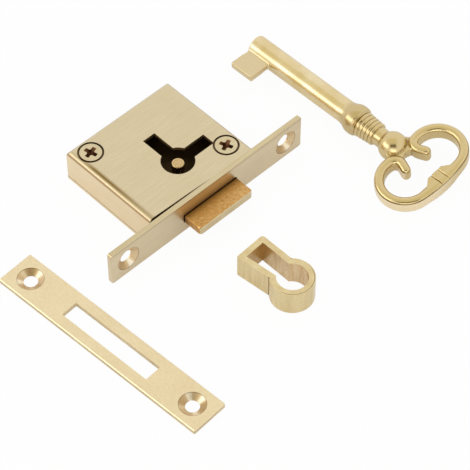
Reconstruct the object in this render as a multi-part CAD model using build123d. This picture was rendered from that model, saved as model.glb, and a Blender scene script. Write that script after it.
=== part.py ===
from build123d import *
import os
from math import asin, atan, atan2, cos, degrees, radians, sin, sqrt

# Mortise cabinet lock with its key, strike plate and keyhole insert, in millimetres.
# The origin is on the drill pin's axis at the back of the case. X runs along the faceplate,
# the bolt is thrown towards -Y, and the key goes in along Z.

# Key, which sets the keyhole, the bolt's notch and the levers
key_shank_radius = 3.42
key_bore_radius = 1.95
key_bore_depth = 9.5
bit_reach = 10.3
bit_width = 8.0
bit_thickness = 2.0
bit_from_tip = 0.45
sweep_gap = 0.2
sweep_radius = bit_reach + sweep_gap

# Case
case_width = 37.85
case_depth = 34.7
case_height = 10.7
case_shift = -0.925
sheet = 1.0
base_thickness = 1.0
bend_radius = 1.7
corner_radius = 0.5
front_gap_left = 1.2
front_gap_right = 0.08
corner_relief = 0.45

# Faceplate
plate_length = 70.4
plate_width = 11.6
plate_thickness = 1.45
plate_shift = -0.55
plate_hole_spacing = 58.3
plate_edge = 0.2
plate_corner = 0.7
backset = 12.64
tenon_width = 6.0
tenon_depth = 0.8
tenon_place = 12.0

# Screw holes of the faceplate and the strike plate
hole_radius = 1.95
sink_radius = 3.72
sink_depth = 1.05

# Keyhole
keyhole_radius = 4.75
keyhole_slot_width = 4.2
keyhole_side_reach = 11.4
keyhole_rear_reach = 11.7

# Bolt
bolt_width = 19.4
bolt_shift = 0.1
bolt_thickness = 2.7
bolt_below_middle = 0.25
bolt_throw = 6.4
bolt_gap = 0.2
bolt_corner = 0.9
bolt_edge = 0.2
shoulder_gap = 0.1
notch_floor_gap = 0.3
notch_lip = 8.0
tail_from_wall = 2.1
tail_end_web = 1.6
tail_slot_web = 0.75
stump_web = 1.0

# Guide post with its sleeves, and the bolt stump
guide_y = 6.0
guide_radius = 1.25
sleeve_radius = 1.8
stump_y = -6.0
stump_radius = 1.0

# Levers
pivot_from_wall = 10.2
pivot_from_rear = 7.0
lever_post_radius = 1.5
lever_eye_radius = 2.9
lever_top_gap = 0.35
lever_drop = 2.5
lever_from_wall = 1.6
lever_shoulder = 1.0
lever_front_web = 1.4
spacer_radius = 2.6
washer_thickness = 0.2

# Lever springs
socket_from_wall = 2.0
socket_from_guide = 2.6
spring_socket_radius = 0.8
spring_eye_radius = 0.75
spring_thickness = 0.3
spring_width = 1.0
spring_wall_gap = 0.4
spring_root_offset = 0.6
spring_tip_y = -4.5

# Cover screws, their pillars and the drill pin
screw_head_radius = 3.3
screw_radius = 1.72
screw_length = 6.5
screw_ring = 0.4
screw_ring_depth = 0.6
recess_span = 2.0
recess_depth = 1.9
recess_arm = 1.2
recess_core = 1.05
pillar_radius = 2.75
pillar_bore_depth = 7.0
rear_screw_inset_x = 4.85
rear_screw_inset_y = 4.9
front_screw_inset_x = 4.7
front_screw_inset_y = 6.2
rear_screw_turn = 13.3
front_screw_turn = 21.5
drill_pin_radius = 1.85
drill_pin_below_top = 0.7
drill_pin_chamfer = 0.45
drill_pin_seat = 0.7
drill_pin_foot_radius = 1.4
drill_pin_neck = 0.3
tenon_radius = 1.1

# Clearances
turning_gap = 0.04
sliding_gap = 0.1
face_gap = 0.05
stop_gap = 0.08
gate_gap = 0.2

# Strike plate
strike_length = 71.1
strike_width = 11.5
strike_thickness = 1.4
strike_hole_spacing = 58.9
strike_slot_length = 30.5
strike_slot_width = 5.15
strike_slot_shift = 0.3
strike_slot_corner = 0.4
strike_edge = 0.2
strike_corner = 0.3

# Keyhole insert
insert_height = 7.6
insert_square_half = 5.0
insert_neck_half = 4.42
insert_wall = 1.82
insert_ring_radius = 6.15
insert_ring_centre = 15.2
insert_corner = 0.9
insert_left_corner = 0.2

# Key's collar, ribs, neck and ball, measured from its tip
tip_chamfer = 0.3
flare_start = 35.7
bell_start = 38.4
bell_end = 41.3
bell_crown = 0.2
bell_radius = 4.5
rib_start = 41.9
rib_count = 5
rib_pitch = 1.18
rib_first_radius = 3.25
rib_last_radius = 2.8
rib_rise = 0.62
neck_radius = 2.75
ball_centre = 53.45
ball_radius = 4.2

# Key's bow, the middle line of its bar and the bar's section
lobe_u = 64.15
lobe_v = 6.4
lobe_radius = 7.3
hook_radius = 2.35
hook_turn = 190.5
hook_end = 292.4
scroll_tail = 2.0
bar_middle = 71.76
lobe_bar_width = 2.8
outer_bar_width = 3.3
bow_thickness = 4.8
bow_edge = 1.25
pad_half = 2.6
pad_rise = 1.25
pad_slope = 2.4
pad_step = 0.05
pad_reach = 9.5
pad_inset = 0.06
pad_end_inset = 0.9
groove_place = 1.35
groove_width = 0.4
groove_depth = 0.35
web_thickness = 3.0
web_half = 3.2

# Where the loose pieces lie
strike_gap_x = 13.3
strike_gap_y = 13.78
strike_turn = 3.4
key_gap_x = 4.1
key_gap_y = 3.38
key_turn = 0.8
insert_x = 0.28
insert_gap_y = 13.4
insert_turn = 3.3

# Places that follow from the sizes above
case_left = case_shift - case_width / 2
case_right = case_shift + case_width / 2
plate_front_y = -backset
plate_back_y = plate_front_y + plate_thickness
case_rear_y = plate_back_y + case_depth
inner_left = case_left + sheet
cover_underside = case_height - sheet
rear_screw = (case_left + rear_screw_inset_x, case_rear_y - rear_screw_inset_y)
front_screw = (case_right - front_screw_inset_x, plate_back_y + front_screw_inset_y)
bolt_height = case_height / 2 - bolt_below_middle - bolt_thickness / 2
bolt_top = bolt_height + bolt_thickness
bolt_front_y = plate_front_y - bolt_throw
shoulder_y = plate_back_y + shoulder_gap
notch_exit = sqrt(sweep_radius**2 - notch_lip**2)
notch_floor = sweep_radius + notch_floor_gap
guide_x = -notch_floor - tail_slot_web - guide_radius - sliding_gap
stump_x = -notch_floor - stump_web - stump_radius
tail_left = inner_left + tail_from_wall
tail_end_y = guide_y + guide_radius + sliding_gap + tail_end_web
pivot = (inner_left + pivot_from_wall, case_rear_y - pivot_from_rear)
guide = (guide_x, guide_y)
stump = (stump_x, stump_y)
socket = (inner_left + socket_from_wall, guide_y + socket_from_guide)
spring_tip = (inner_left + spring_wall_gap, spring_tip_y)
lever_room = cover_underside - bolt_top - lever_top_gap - 2 * washer_thickness - 2 * face_gap
lever_thickness = lever_room / 2
lower_lever_z = bolt_height - washer_thickness - lever_thickness
middle_lever_z = bolt_top + washer_thickness
upper_lever_z = middle_lever_z + lever_thickness + washer_thickness + 2 * face_gap
lever_levels = {"lower": lower_lever_z, "middle": middle_lever_z, "upper": upper_lever_z}


def block(x0, x1, y0, y1, z0, z1):
    """A box between two corners."""
    middle = Pos((x0 + x1) / 2, (y0 + y1) / 2, (z0 + z1) / 2)
    return middle * Box(x1 - x0, y1 - y0, z1 - z0)


def post(place, radius, z0, z1):
    """An upright round bar."""
    return Pos(place[0], place[1], (z0 + z1) / 2) * Cylinder(radius, z1 - z0)


def ring(place, outer, inner, z0, z1):
    """An upright sleeve or washer."""
    return post(place, outer, z0, z1) - post(place, inner, z0 - 1, z1 + 1)


def slab(sketch, z0, z1):
    """A flat outline made solid between two heights."""
    return Pos(0, 0, z0) * extrude(sketch, z1 - z0)


def patch(x0, x1, y0, y1):
    """A flat rectangle between two corners."""
    return Pos((x0 + x1) / 2, (y0 + y1) / 2) * Rectangle(x1 - x0, y1 - y0)


def disc(place, radius):
    return Pos(place[0], place[1]) * Circle(radius)


def capsule(start, end, radius):
    """The area swept by a disc that moves from start to end."""
    edges = disc(start, radius).edges() + disc(end, radius).edges()
    return make_hull(edges)


def turned(place, centre, angle):
    """A point turned about a centre, in degrees."""
    turn = radians(angle)
    x = place[0] - centre[0]
    y = place[1] - centre[1]
    return (centre[0] + x * cos(turn) - y * sin(turn), centre[1] + x * sin(turn) + y * cos(turn))


def countersunk_hole(x, y, top, thickness):
    """The tool for a screw hole down from a face at height top, its cone above a short round land."""
    cone_end = top - sink_depth
    cone = Pos(x, y, top - sink_depth / 2) * Cone(hole_radius, sink_radius, sink_depth)
    mouth = post((x, y), sink_radius, top, top + 1)
    return cone + mouth + post((x, y), hole_radius, top - thickness - 1, cone_end)


def base_plate():
    plate = block(case_left, case_right, plate_back_y, case_rear_y, 0, base_thickness)
    rear = plate.edges().filter_by(Axis.Z).group_by(Axis.Y)[-1]
    plate = fillet(rear, corner_radius)
    for x in (-tenon_place, tenon_place):
        plate += block(
            x - tenon_width / 2, x + tenon_width / 2,
            plate_back_y - tenon_depth, plate_back_y + sheet, 0, base_thickness)
    for place in (guide, pivot, rear_screw, front_screw):
        plate -= post(place, tenon_radius, -1, base_thickness + 1)
    return plate - post((0, 0), drill_pin_foot_radius, base_thickness - drill_pin_seat, base_thickness + 1)


def keyhole():
    half = keyhole_slot_width / 2
    outline = Circle(keyhole_radius)
    outline += patch(0, keyhole_side_reach, -half, half)
    outline += patch(-half, half, 0, keyhole_rear_reach)
    return slab(outline, cover_underside - 1, case_height + 1)


def cover_screw_hole(place):
    """A cone seat under a wider ring that leaves a dark line round the screw's head."""
    seat_top = screw_head_radius - screw_ring_depth
    seat_bottom = screw_head_radius - sheet
    seat_height = sheet - screw_ring_depth
    seat = Pos(place[0], place[1], cover_underside + seat_height / 2)
    seat = seat * Cone(seat_bottom, seat_top, seat_height)
    return seat + post(place, screw_head_radius + screw_ring, case_height - screw_ring_depth, case_height + 1)


def cover():
    outer = block(case_left, case_right, plate_back_y, case_rear_y, base_thickness, case_height)
    outer = fillet(outer.edges().filter_by(Axis.Z).group_by(Axis.Y)[-1], corner_radius)
    top = outer.edges().group_by(Axis.Z)[-1]
    folds = [edge for edge in top if edge.center().Y > plate_back_y + sheet]
    outer = fillet(folds, bend_radius)
    inner = block(
        inner_left, case_right - sheet, plate_back_y - 1, case_rear_y - sheet,
        base_thickness - 1, cover_underside)
    front = Polyline(
        (case_left - 1, plate_back_y - 1),
        (case_right + 1, plate_back_y - 1),
        (case_right + 1, plate_back_y + front_gap_right),
        (case_left - 1, plate_back_y + front_gap_left),
        close=True)
    shell = outer - inner - slab(make_face(front), -1, case_height + 1) - keyhole()
    for x in (case_left, case_right):
        shell -= post((x, case_rear_y), corner_relief, base_thickness - 1, base_thickness + corner_relief)
    return shell - cover_screw_hole(rear_screw) - cover_screw_hole(front_screw)


def faceplate():
    left = plate_shift - plate_length / 2
    right = plate_shift + plate_length / 2
    plate = block(left, right, plate_front_y, plate_back_y, 0, plate_width)
    plate = fillet(plate.edges().filter_by(Axis.Y), plate_corner)
    plate = chamfer(plate.faces().sort_by(Axis.Y)[0].edges(), plate_edge)
    half = bolt_width / 2 + bolt_gap
    plate -= block(
        bolt_shift - half, bolt_shift + half, plate_front_y - 1, plate_back_y + 1,
        bolt_height - bolt_gap, bolt_top + bolt_gap)
    for x in (-tenon_place, tenon_place):
        plate -= block(
            x - tenon_width / 2, x + tenon_width / 2,
            plate_back_y - tenon_depth, plate_back_y + 1, -1, base_thickness)
    upright = Pos(plate_shift, plate_front_y, plate_width / 2) * Rot(90, 0, 0)
    for x in (-plate_hole_spacing / 2, plate_hole_spacing / 2):
        plate -= upright * countersunk_hole(x, 0, 0, plate_thickness)
    return plate


def cover_screw(place, turn):
    """A countersunk screw with a cross recess, its head flush with the cover."""
    rim = screw_ring_depth / 3
    cone_height = screw_head_radius - screw_radius - rim
    cone_top = case_height - rim
    head = post(place, screw_head_radius - rim, cone_top, case_height)
    cone = Pos(place[0], place[1], cone_top - cone_height / 2)
    head += cone * Cone(screw_radius, screw_head_radius - rim, cone_height)
    shaft = post(place, screw_radius, case_height - screw_length, cone_top - cone_height)
    arms = Box(2 * recess_span, recess_arm, 2 * recess_depth) + Box(recess_arm, 2 * recess_span, 2 * recess_depth)
    taper = Pos(0, 0, -recess_depth / 2) * Cone(recess_arm / 2, recess_span, recess_depth)
    taper += Pos(0, 0, recess_depth / 2) * Cylinder(recess_span, recess_depth)
    core = Pos(0, 0, -recess_depth / 2) * Cone(recess_arm / 2, recess_core, recess_depth)
    recess = Pos(place[0], place[1], case_height) * Rot(0, 0, turn) * ((arms & taper) + core)
    return head + shaft - recess


def cover_screws():
    return [cover_screw(rear_screw, rear_screw_turn), cover_screw(front_screw, front_screw_turn)]


def cover_pillar(place):
    """A threaded pillar riveted to the base plate, its mouth countersunk for the screw's cone."""
    mouth_radius = screw_head_radius - sheet
    bore = screw_radius + sliding_gap / 2
    mouth_depth = mouth_radius + sliding_gap / 2 - bore
    pillar = post(place, pillar_radius, base_thickness, cover_underside)
    pillar += post(place, tenon_radius, 0, base_thickness)
    pillar -= post(place, bore, cover_underside - pillar_bore_depth, cover_underside + 1)
    mouth = Pos(place[0], place[1], cover_underside - mouth_depth / 2)
    return pillar - mouth * Cone(bore, bore + mouth_depth, mouth_depth)


def cover_pillars():
    return [cover_pillar(rear_screw), cover_pillar(front_screw)]


def drill_pin():
    """The pin that centres the key, on a thinner foot seated in the base plate."""
    shoulder = base_thickness + drill_pin_neck
    pin = post((0, 0), drill_pin_radius, shoulder, case_height - drill_pin_below_top)
    pin = fillet(pin.edges().group_by(Axis.Z)[-1], drill_pin_chamfer)
    return pin + post((0, 0), drill_pin_foot_radius, base_thickness - drill_pin_seat, shoulder)


def guide_post():
    return post(guide, guide_radius, base_thickness, cover_underside - face_gap) + post(
        guide, tenon_radius, 0, base_thickness)


def guide_sleeves():
    """One sleeve carries the bolt's tail and one holds it down."""
    bore = guide_radius + turning_gap
    below = ring(guide, sleeve_radius, bore, base_thickness, bolt_height - face_gap)
    above = ring(guide, sleeve_radius, bore, bolt_top + face_gap, cover_underside - face_gap)
    return [below, above]


def bolt_outline():
    """Head, notched and slotted tail, clear of the bit's circle and of the lever post at every throw."""
    half = bolt_width / 2
    head = patch(bolt_shift - half, bolt_shift + half, bolt_front_y, -sweep_radius)
    head = fillet(head.vertices().group_by(Axis.Y)[0], bolt_corner)
    outline = head + (patch(tail_left, 0, shoulder_y, -notch_exit) - Circle(sweep_radius))
    outline += patch(tail_left, -notch_lip, -notch_exit, tail_end_y)
    outline -= patch(-notch_floor, 0, -notch_exit, notch_exit - bolt_throw)
    slot_start = (guide_x, guide_y - bolt_throw)
    outline -= capsule(slot_start, guide, guide_radius + sliding_gap)
    spacers_start = (pivot[0], pivot[1] - bolt_throw)
    outline -= capsule(spacers_start, pivot, spacer_radius + gate_gap)
    return outline - disc(stump, stump_radius)


def bolt():
    solid = slab(bolt_outline(), bolt_height, bolt_top)
    front = solid.faces().sort_by(Axis.Y)[0]
    long_edges = [edge for edge in front.edges() if edge.length > bolt_width / 2]
    return chamfer(long_edges, bolt_edge)


def bolt_stump():
    """A round pin through the bolt's tail that meets all three levers."""
    return post(stump, stump_radius, lower_lever_z - face_gap, upper_lever_z + lever_thickness + face_gap)


def lever_outline():
    """The lever raised to its gate: eye, belly, gate with two pockets, stop slot and spring socket."""
    front_y = stump_y - stump_radius - gate_gap - lever_front_web
    outer_x = inner_left + lever_from_wall
    corners = Polyline((-notch_lip, front_y), (outer_x, front_y), (outer_x, socket[1] + lever_shoulder))
    outline = make_hull(disc(pivot, lever_eye_radius).edges() + corners.edges())
    outline -= Circle(sweep_radius)
    gate_end = (stump_x, stump_y + bolt_throw)
    gate_radius = stump_radius + gate_gap
    outline -= capsule(stump, gate_end, gate_radius)
    for place in (stump, gate_end):
        outline -= capsule(place, turned(place, pivot, -lever_drop), gate_radius)
    outline -= capsule(guide, turned(guide, pivot, -lever_drop), sleeve_radius + stop_gap)
    outline -= disc(socket, spring_socket_radius)
    return outline - disc(pivot, lever_post_radius + turning_gap)


def lever(z):
    return slab(lever_outline(), z, z + lever_thickness)


def lever_spring(z):
    """A leaf with a curled eye in the lever's socket and its tip at the case wall."""
    middle = z + lever_thickness / 2
    root = (socket[0] - spring_root_offset, socket[1])
    outline = disc(socket, spring_eye_radius) + capsule(root, spring_tip, spring_thickness / 2)
    return slab(outline, middle - spring_width / 2, middle + spring_width / 2)


def lever_post():
    return post(pivot, lever_post_radius, base_thickness, cover_underside - face_gap) + post(
        pivot, tenon_radius, 0, base_thickness)


def lever_spacers():
    """Sleeves and washers that keep the levers at their heights on the lever post."""
    bore = lever_post_radius + turning_gap
    spans = [
        (base_thickness, lower_lever_z - face_gap),
        (lower_lever_z + lever_thickness + face_gap, middle_lever_z - face_gap),
        (middle_lever_z + lever_thickness + face_gap, upper_lever_z - face_gap),
        (upper_lever_z + lever_thickness + face_gap, cover_underside - face_gap)]
    return [ring(pivot, spacer_radius, bore, low, high) for low, high in spans]


def strike_plate():
    plate = Pos(0, 0, strike_thickness / 2) * Box(strike_length, strike_width, strike_thickness)
    plate = fillet(plate.edges().filter_by(Axis.Z), strike_corner)
    plate = chamfer(plate.faces().sort_by(Axis.Z)[-1].edges(), strike_edge)
    slot = Box(strike_slot_length, strike_slot_width, 4 * strike_thickness)
    plate -= Pos(strike_slot_shift, 0, 0) * fillet(slot.edges().filter_by(Axis.Z), strike_slot_corner)
    for x in (-strike_hole_spacing / 2, strike_hole_spacing / 2):
        plate -= countersunk_hole(x, 0, strike_thickness, strike_thickness)
    return plate


def strike_place():
    x = plate_shift - plate_length / 2 - strike_gap_x
    return Pos(x, plate_front_y - strike_gap_y, 0) * Rot(0, 0, -90 + strike_turn)


def insert_outline(inset):
    """A square-ended neck that widens into a ring, drawn inwards by inset."""
    radius = insert_ring_radius - inset
    neck_half = insert_neck_half - inset
    neck_end = insert_ring_centre - sqrt(radius**2 - neck_half**2)
    square_half = insert_square_half - inset
    neck = Polyline(
        (inset, -square_half), (neck_end, -neck_half), (neck_end, neck_half), (inset, square_half), close=True)
    return make_face(neck) + disc((insert_ring_centre, 0), radius)


def keyhole_insert():
    body = slab(insert_outline(0), 0, insert_height)
    corners = body.edges().filter_by(Axis.Z).group_by(Axis.X)[0].sort_by(Axis.Y)
    body = fillet(corners[-1], insert_corner)
    body = fillet(body.edges().filter_by(Axis.Z).group_by(Axis.X)[0].sort_by(Axis.Y)[0], insert_left_corner)
    return body - slab(insert_outline(insert_wall), -1, insert_height + 1)


def insert_place():
    corner = Pos(insert_x, bolt_front_y - insert_gap_y, 0)
    return corner * Rot(0, 0, -90 + insert_turn) * Pos(0, -insert_square_half, 0)


def key_profile():
    """Half outline of the key's turned stretch, from its tip to the neck."""
    rib_radii = [
        rib_first_radius + (rib_last_radius - rib_first_radius) * n / rib_count for n in range(rib_count + 1)]
    rib_end = rib_start + rib_count * rib_pitch
    bell_middle = (bell_start + bell_end) / 2
    bell_join = bell_radius - bell_crown
    lines = Polyline(
        (0, 0), (0, key_shank_radius - tip_chamfer), (tip_chamfer, key_shank_radius), (flare_start, key_shank_radius))
    flare_middle = ((flare_start + bell_start) / 2, key_shank_radius + (bell_join - key_shank_radius) / 3)
    lines += ThreePointArc((flare_start, key_shank_radius), flare_middle, (bell_start, bell_join))
    lines += ThreePointArc((bell_start, bell_join), (bell_middle, bell_radius), (bell_end, bell_join))
    lines += Line((bell_end, bell_join), (rib_start, rib_radii[0]))
    for n in range(rib_count):
        start = rib_start + n * rib_pitch
        crest = (start + rib_pitch / 2, (rib_radii[n] + rib_radii[n + 1]) / 2 + rib_rise)
        lines += ThreePointArc((start, rib_radii[n]), crest, (start + rib_pitch, rib_radii[n + 1]))
    lines += Polyline(
        (rib_end, rib_radii[-1]), (rib_end, neck_radius), (ball_centre, neck_radius), (ball_centre, 0), (0, 0))
    return make_face(lines)


def key_roll():
    """The roll at which the key, lying on its bell, also rests on the lower edge of one lobe."""
    edge_v = lobe_v + lobe_radius + lobe_bar_width / 2 - bow_edge
    edge_z = bow_thickness / 2 - bow_edge
    height = bell_radius - bow_edge
    return degrees(asin(height / sqrt(edge_v**2 + edge_z**2)) - atan(edge_z / edge_v))


def key_bit():
    """The bit, turned about the shank so that it lies level while the bow rests on one lobe."""
    plate = block(
        bit_from_tip, bit_from_tip + bit_width, -bit_reach, 0, -bit_thickness / 2, bit_thickness / 2)
    ends = plate.faces().sort_by(Axis.Y)[0].edges() + plate.faces().sort_by(Axis.X)[-1].edges()
    return Rot(-key_roll(), 0, 0) * fillet(ends, bit_thickness / 8)


def arc_point(centre, radius, angle):
    return (centre[0] + radius * cos(radians(angle)), centre[1] + radius * sin(radians(angle)))


def bar_arc(middle, radius):
    """The outer bar's arc from the key's axis to where it touches a lobe circle of this radius."""
    reach = middle - radius - lobe_u
    centre_u = lobe_u + reach / 2 - lobe_v**2 / (2 * reach)
    angle = degrees(atan2(lobe_v, lobe_u - centre_u))
    centre = (centre_u, 0)
    span = middle - centre_u
    return (middle, 0), arc_point(centre, span, angle / 2), arc_point((lobe_u, lobe_v), radius, angle), angle


def bar_span():
    """The radius of the outer bar's outer edge."""
    radius = lobe_radius + lobe_bar_width / 2
    reach = bar_middle + outer_bar_width / 2 - radius - lobe_u
    return radius + reach / 2 + lobe_v**2 / (2 * reach)


def bow_side(side):
    """One edge of half the bow's bar, outer or inner: bar, lobe, hook and straight scroll end, all tangent."""
    lobe = (lobe_u, lobe_v)
    radius = lobe_radius + side * lobe_bar_width / 2
    start, middle, end, angle = bar_arc(bar_middle + side * outer_bar_width / 2, radius)
    hook = arc_point(lobe, lobe_radius - hook_radius, hook_turn)
    hook_side = hook_radius + side * lobe_bar_width / 2
    lobe_end = arc_point(lobe, radius, hook_turn)
    hook_last = arc_point(hook, hook_side, hook_end)
    scroll_end = arc_point(hook_last, scroll_tail, hook_end + 90)
    edges = [
        ThreePointArc(start, middle, end),
        ThreePointArc(end, arc_point(lobe, radius, (angle + hook_turn) / 2), lobe_end),
        ThreePointArc(lobe_end, arc_point(hook, hook_side, (hook_turn + hook_end) / 2), hook_last),
        Line(hook_last, scroll_end)]
    return edges, start, scroll_end


def half_bow():
    outer, outer_start, outer_end = bow_side(1)
    inner, inner_start, inner_end = bow_side(-1)
    tip_middle = ((outer_end[0] + inner_end[0]) / 2, (outer_end[1] + inner_end[1]) / 2)
    tip = ThreePointArc(outer_end, arc_point(tip_middle, lobe_bar_width / 2, hook_end + 90), inner_end)
    outline = make_face(outer + inner + [tip, Line(inner_start, outer_start)])
    bar = slab(outline, -bow_thickness / 2, bow_thickness / 2)
    flats = bar.faces().filter_by(Axis.Z)
    rims = [edge for face in flats for edge in face.edges() if abs(edge.center().Y) > bow_edge]
    return fillet(rims, bow_edge)


def bow_pad():
    """The flat of the outer bar: broad in its middle, with a crisp outer edge that runs out in the rounded lobes."""
    middle = bar_middle - outer_bar_width / 2
    inner = middle - pad_rise
    slope_v = pad_half + pad_slope
    outer = bar_middle + outer_bar_width / 2
    end_u = outer - pad_reach**2 / (2 * bar_span()) - pad_end_inset
    edges = ThreePointArc((end_u, pad_reach), (outer - pad_inset, 0), (end_u, -pad_reach))
    edges += Polyline(
        (end_u, -pad_reach), (middle + bow_edge / 2, -slope_v), (inner, -pad_half),
        (inner, pad_half), (middle + bow_edge / 2, slope_v), (end_u, pad_reach))
    return slab(make_face(edges), pad_step - bow_thickness / 2, bow_thickness / 2 - pad_step)


def bow_grooves():
    top = bow_thickness / 2 - pad_step
    start = bar_middle - outer_bar_width / 2 - pad_rise - 1
    grooves = [
        block(
            start, bar_middle + outer_bar_width, v - groove_width / 2, v + groove_width / 2,
            top - groove_depth, top + 1)
        for v in (-groove_place, groove_place)]
    return grooves[0] + grooves[1]


def bow_web():
    """The waist between the ball and the two hooks, hollowed at its end."""
    hook = arc_point((lobe_u, lobe_v), lobe_radius - hook_radius, hook_turn)
    end_u = hook[0] - hook_radius / 2
    outline = Polyline(
        (ball_centre, web_half), (hook[0] - hook_radius, hook[1]), (hook[0], hook[1] - hook_radius),
        (end_u, 0), (hook[0], hook_radius - hook[1]), (hook[0] - hook_radius, -hook[1]),
        (ball_centre, -web_half), close=True)
    return slab(make_face(outline), -web_thickness / 2, web_thickness / 2)


def key():
    turned_stretch = revolve(key_profile(), Axis.X, 360)
    half = half_bow()
    bow = half + mirror(half, Plane.XZ) + bow_pad() - bow_grooves() + bow_web()
    ball = Pos(ball_centre, 0, 0) * Sphere(ball_radius)
    bore = Pos(key_bore_depth / 2, 0, 0) * Rot(0, 90, 0) * Cylinder(key_bore_radius, key_bore_depth)
    return turned_stretch + key_bit() + bow + ball - bore


def key_place():
    x = plate_shift + plate_length / 2 + key_gap_x + bit_reach
    lying = Pos(x, case_rear_y - key_gap_y, bell_radius)
    return lying * Rot(0, 0, -90 + key_turn) * Rot(key_roll(), 0, 0)


def nodes():
    """Every sub-part by name, in its place."""
    parts = {
        "base_plate": base_plate(),
        "cover": cover(),
        "faceplate": faceplate(),
        "cover_screws": cover_screws(),
        "cover_pillars": cover_pillars(),
        "drill_pin": drill_pin(),
        "guide_post": guide_post(),
        "guide_sleeves": guide_sleeves(),
        "lever_post": lever_post(),
        "lever_spacers": lever_spacers(),
        "bolt": bolt(),
        "bolt_stump": bolt_stump(),
        "key": key_place() * key(),
        "strike_plate": strike_place() * strike_plate(),
        "keyhole_insert": insert_place() * keyhole_insert()}
    for level, z in lever_levels.items():
        parts[f"{level}_lever"] = lever(z)
        parts[f"{level}_lever_spring"] = lever_spring(z)
    return parts


def export(parts):
    os.makedirs("parts", exist_ok=True)
    for name, shape in parts.items():
        solids = shape if isinstance(shape, list) else [shape]
        group = Compound(label=name, children=[s for shape in solids for s in shape.solids()])
        export_step(group, f"parts/{name}.step")


export(nodes())
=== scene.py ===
from math import cos, pi, radians, sin, sqrt

import bpy
from mathutils import Matrix, Vector


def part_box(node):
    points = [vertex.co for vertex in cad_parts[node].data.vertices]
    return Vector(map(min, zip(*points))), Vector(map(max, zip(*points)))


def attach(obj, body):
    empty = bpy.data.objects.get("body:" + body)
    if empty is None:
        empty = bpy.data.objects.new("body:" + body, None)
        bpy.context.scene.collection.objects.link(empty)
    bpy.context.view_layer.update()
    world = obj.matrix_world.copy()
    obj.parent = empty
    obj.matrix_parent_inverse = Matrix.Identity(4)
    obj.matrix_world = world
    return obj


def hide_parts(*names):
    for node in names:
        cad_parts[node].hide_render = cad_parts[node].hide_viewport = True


# A brass cabinet lock with its key, strike plate and keyhole insert, dressed for a photograph.
# X runs along the faceplate, the bolt is thrown towards -Y, and Z is up.
# Sizes and places are in millimetres and take MM where Blender wants metres. Only the floor, the lamps and
# the cards round the lock are given in metres.

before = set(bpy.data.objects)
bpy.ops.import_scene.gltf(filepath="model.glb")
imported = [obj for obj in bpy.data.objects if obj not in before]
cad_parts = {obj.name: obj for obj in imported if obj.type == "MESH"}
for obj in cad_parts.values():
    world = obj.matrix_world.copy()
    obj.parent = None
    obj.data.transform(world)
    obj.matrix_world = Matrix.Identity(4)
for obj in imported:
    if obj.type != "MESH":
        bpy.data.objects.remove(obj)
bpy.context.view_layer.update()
MM = 0.001

# Cover and its two screws
cover_low, cover_high = (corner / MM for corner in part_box("cover"))
cover_top = cover_high.z
cover_sheet_thickness = 1.0
screw_ring_radius = 3.7
rear_screw_centre = (cover_low.x + 4.85, cover_high.y - 4.9)

# Faceplate, and the gap between it and the cover's front edge, which runs askew: the gap's width at the
# keyhole, and how much it grows for each mm to the left
plate_low, plate_high = (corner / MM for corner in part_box("faceplate"))
plate_middle = (plate_low + plate_high) / 2
plate_hole_spacing = 58.3
gap_at_keyhole = 0.614
gap_slope = 0.0279
front_screw_centre = (cover_high.x - 4.7, plate_high.y + 6.2)

# Strike plate, which lies turned a little on the table
strike_low, strike_high = (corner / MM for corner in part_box("strike_plate"))
strike_middle = (strike_low + strike_high) / 2
strike_hole_spacing = 58.9
strike_turn = radians(3.4)

# Countersinks of both plates: the radius of their rim
sink_radius = 3.72

# Bolt: its outer end
bolt_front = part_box("bolt")[0].y / MM

# Keyhole insert: the middles of its ring and of its square foot, the ring's radius, half the width of its
# neck, and its wall
ring_centre = Vector((-3.84, -47.9))
foot_middle = Vector((-4.71, -32.73))
insert_axis = (ring_centre - foot_middle).normalized()
insert_side = Vector((insert_axis.y, -insert_axis.x))
ring_radius = 6.15
neck_half = 4.42
insert_wall = 1.82

# Key: its tip, its middle line, the side of its shank that the bit stands on, where its bell collar, its
# ribs and its bow begin, and the bow's middle and roll about the shank
key_tip_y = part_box("key")[1].y / MM
key_axis_x = 49.05
key_axis_z = 4.5
shank_side_x = key_axis_x - 3.3
collar_y = -14.8
ribs_y = -21
bow_y = -38
bow_middle = Vector((49.95, -44.5, key_axis_z))
bow_roll = radians(8.8)

# A Mix node has a set of sockets for each kind of data. These are its two colours going in and the one out.
UNDER, OVER, MIXED = 6, 7, 2


def linear(hex_colour):
    """A linear colour from an sRGB hex value such as "D8C8A0"."""
    channels = [int(hex_colour[n:n + 2], 16) / 255 for n in (0, 2, 4)]
    return tuple(c / 12.92 if c <= 0.04045 else ((c + 0.055) / 1.055) ** 2.4 for c in channels) + (1.0,)


def add(tree, kind, settings=None, inputs=None):
    """One node in a tree. An input is a number, a vector, a colour or another node's output socket."""
    node = tree.nodes.new(kind)
    for name, value in (settings or {}).items():
        setattr(node, name, value)
    for name, value in (inputs or {}).items():
        if isinstance(value, bpy.types.NodeSocket):
            tree.links.new(value, node.inputs[name])
        else:
            node.inputs[name].default_value = value
    return node


def new_material(name):
    material = bpy.data.materials.new(name)
    material.use_nodes = True
    material.node_tree.nodes.clear()
    return material


def finish_material(material, colour, metallic, roughness, height, strength, depth):
    """Puts colour, gloss and relief on one shader. depth is that of the relief in millimetres."""
    tree = material.node_tree
    bump = add(tree, "ShaderNodeBump", None, {
        "Strength": strength, "Distance": depth * MM, "Height": height})
    shader = add(tree, "ShaderNodeBsdfPrincipled", None, {
        "Base Color": colour, "Metallic": metallic, "Roughness": roughness,
        "Normal": bump.outputs["Normal"]})
    output = add(tree, "ShaderNodeOutputMaterial", None, {"Surface": shader.outputs["BSDF"]})
    output.is_active_output = True
    return material


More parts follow.
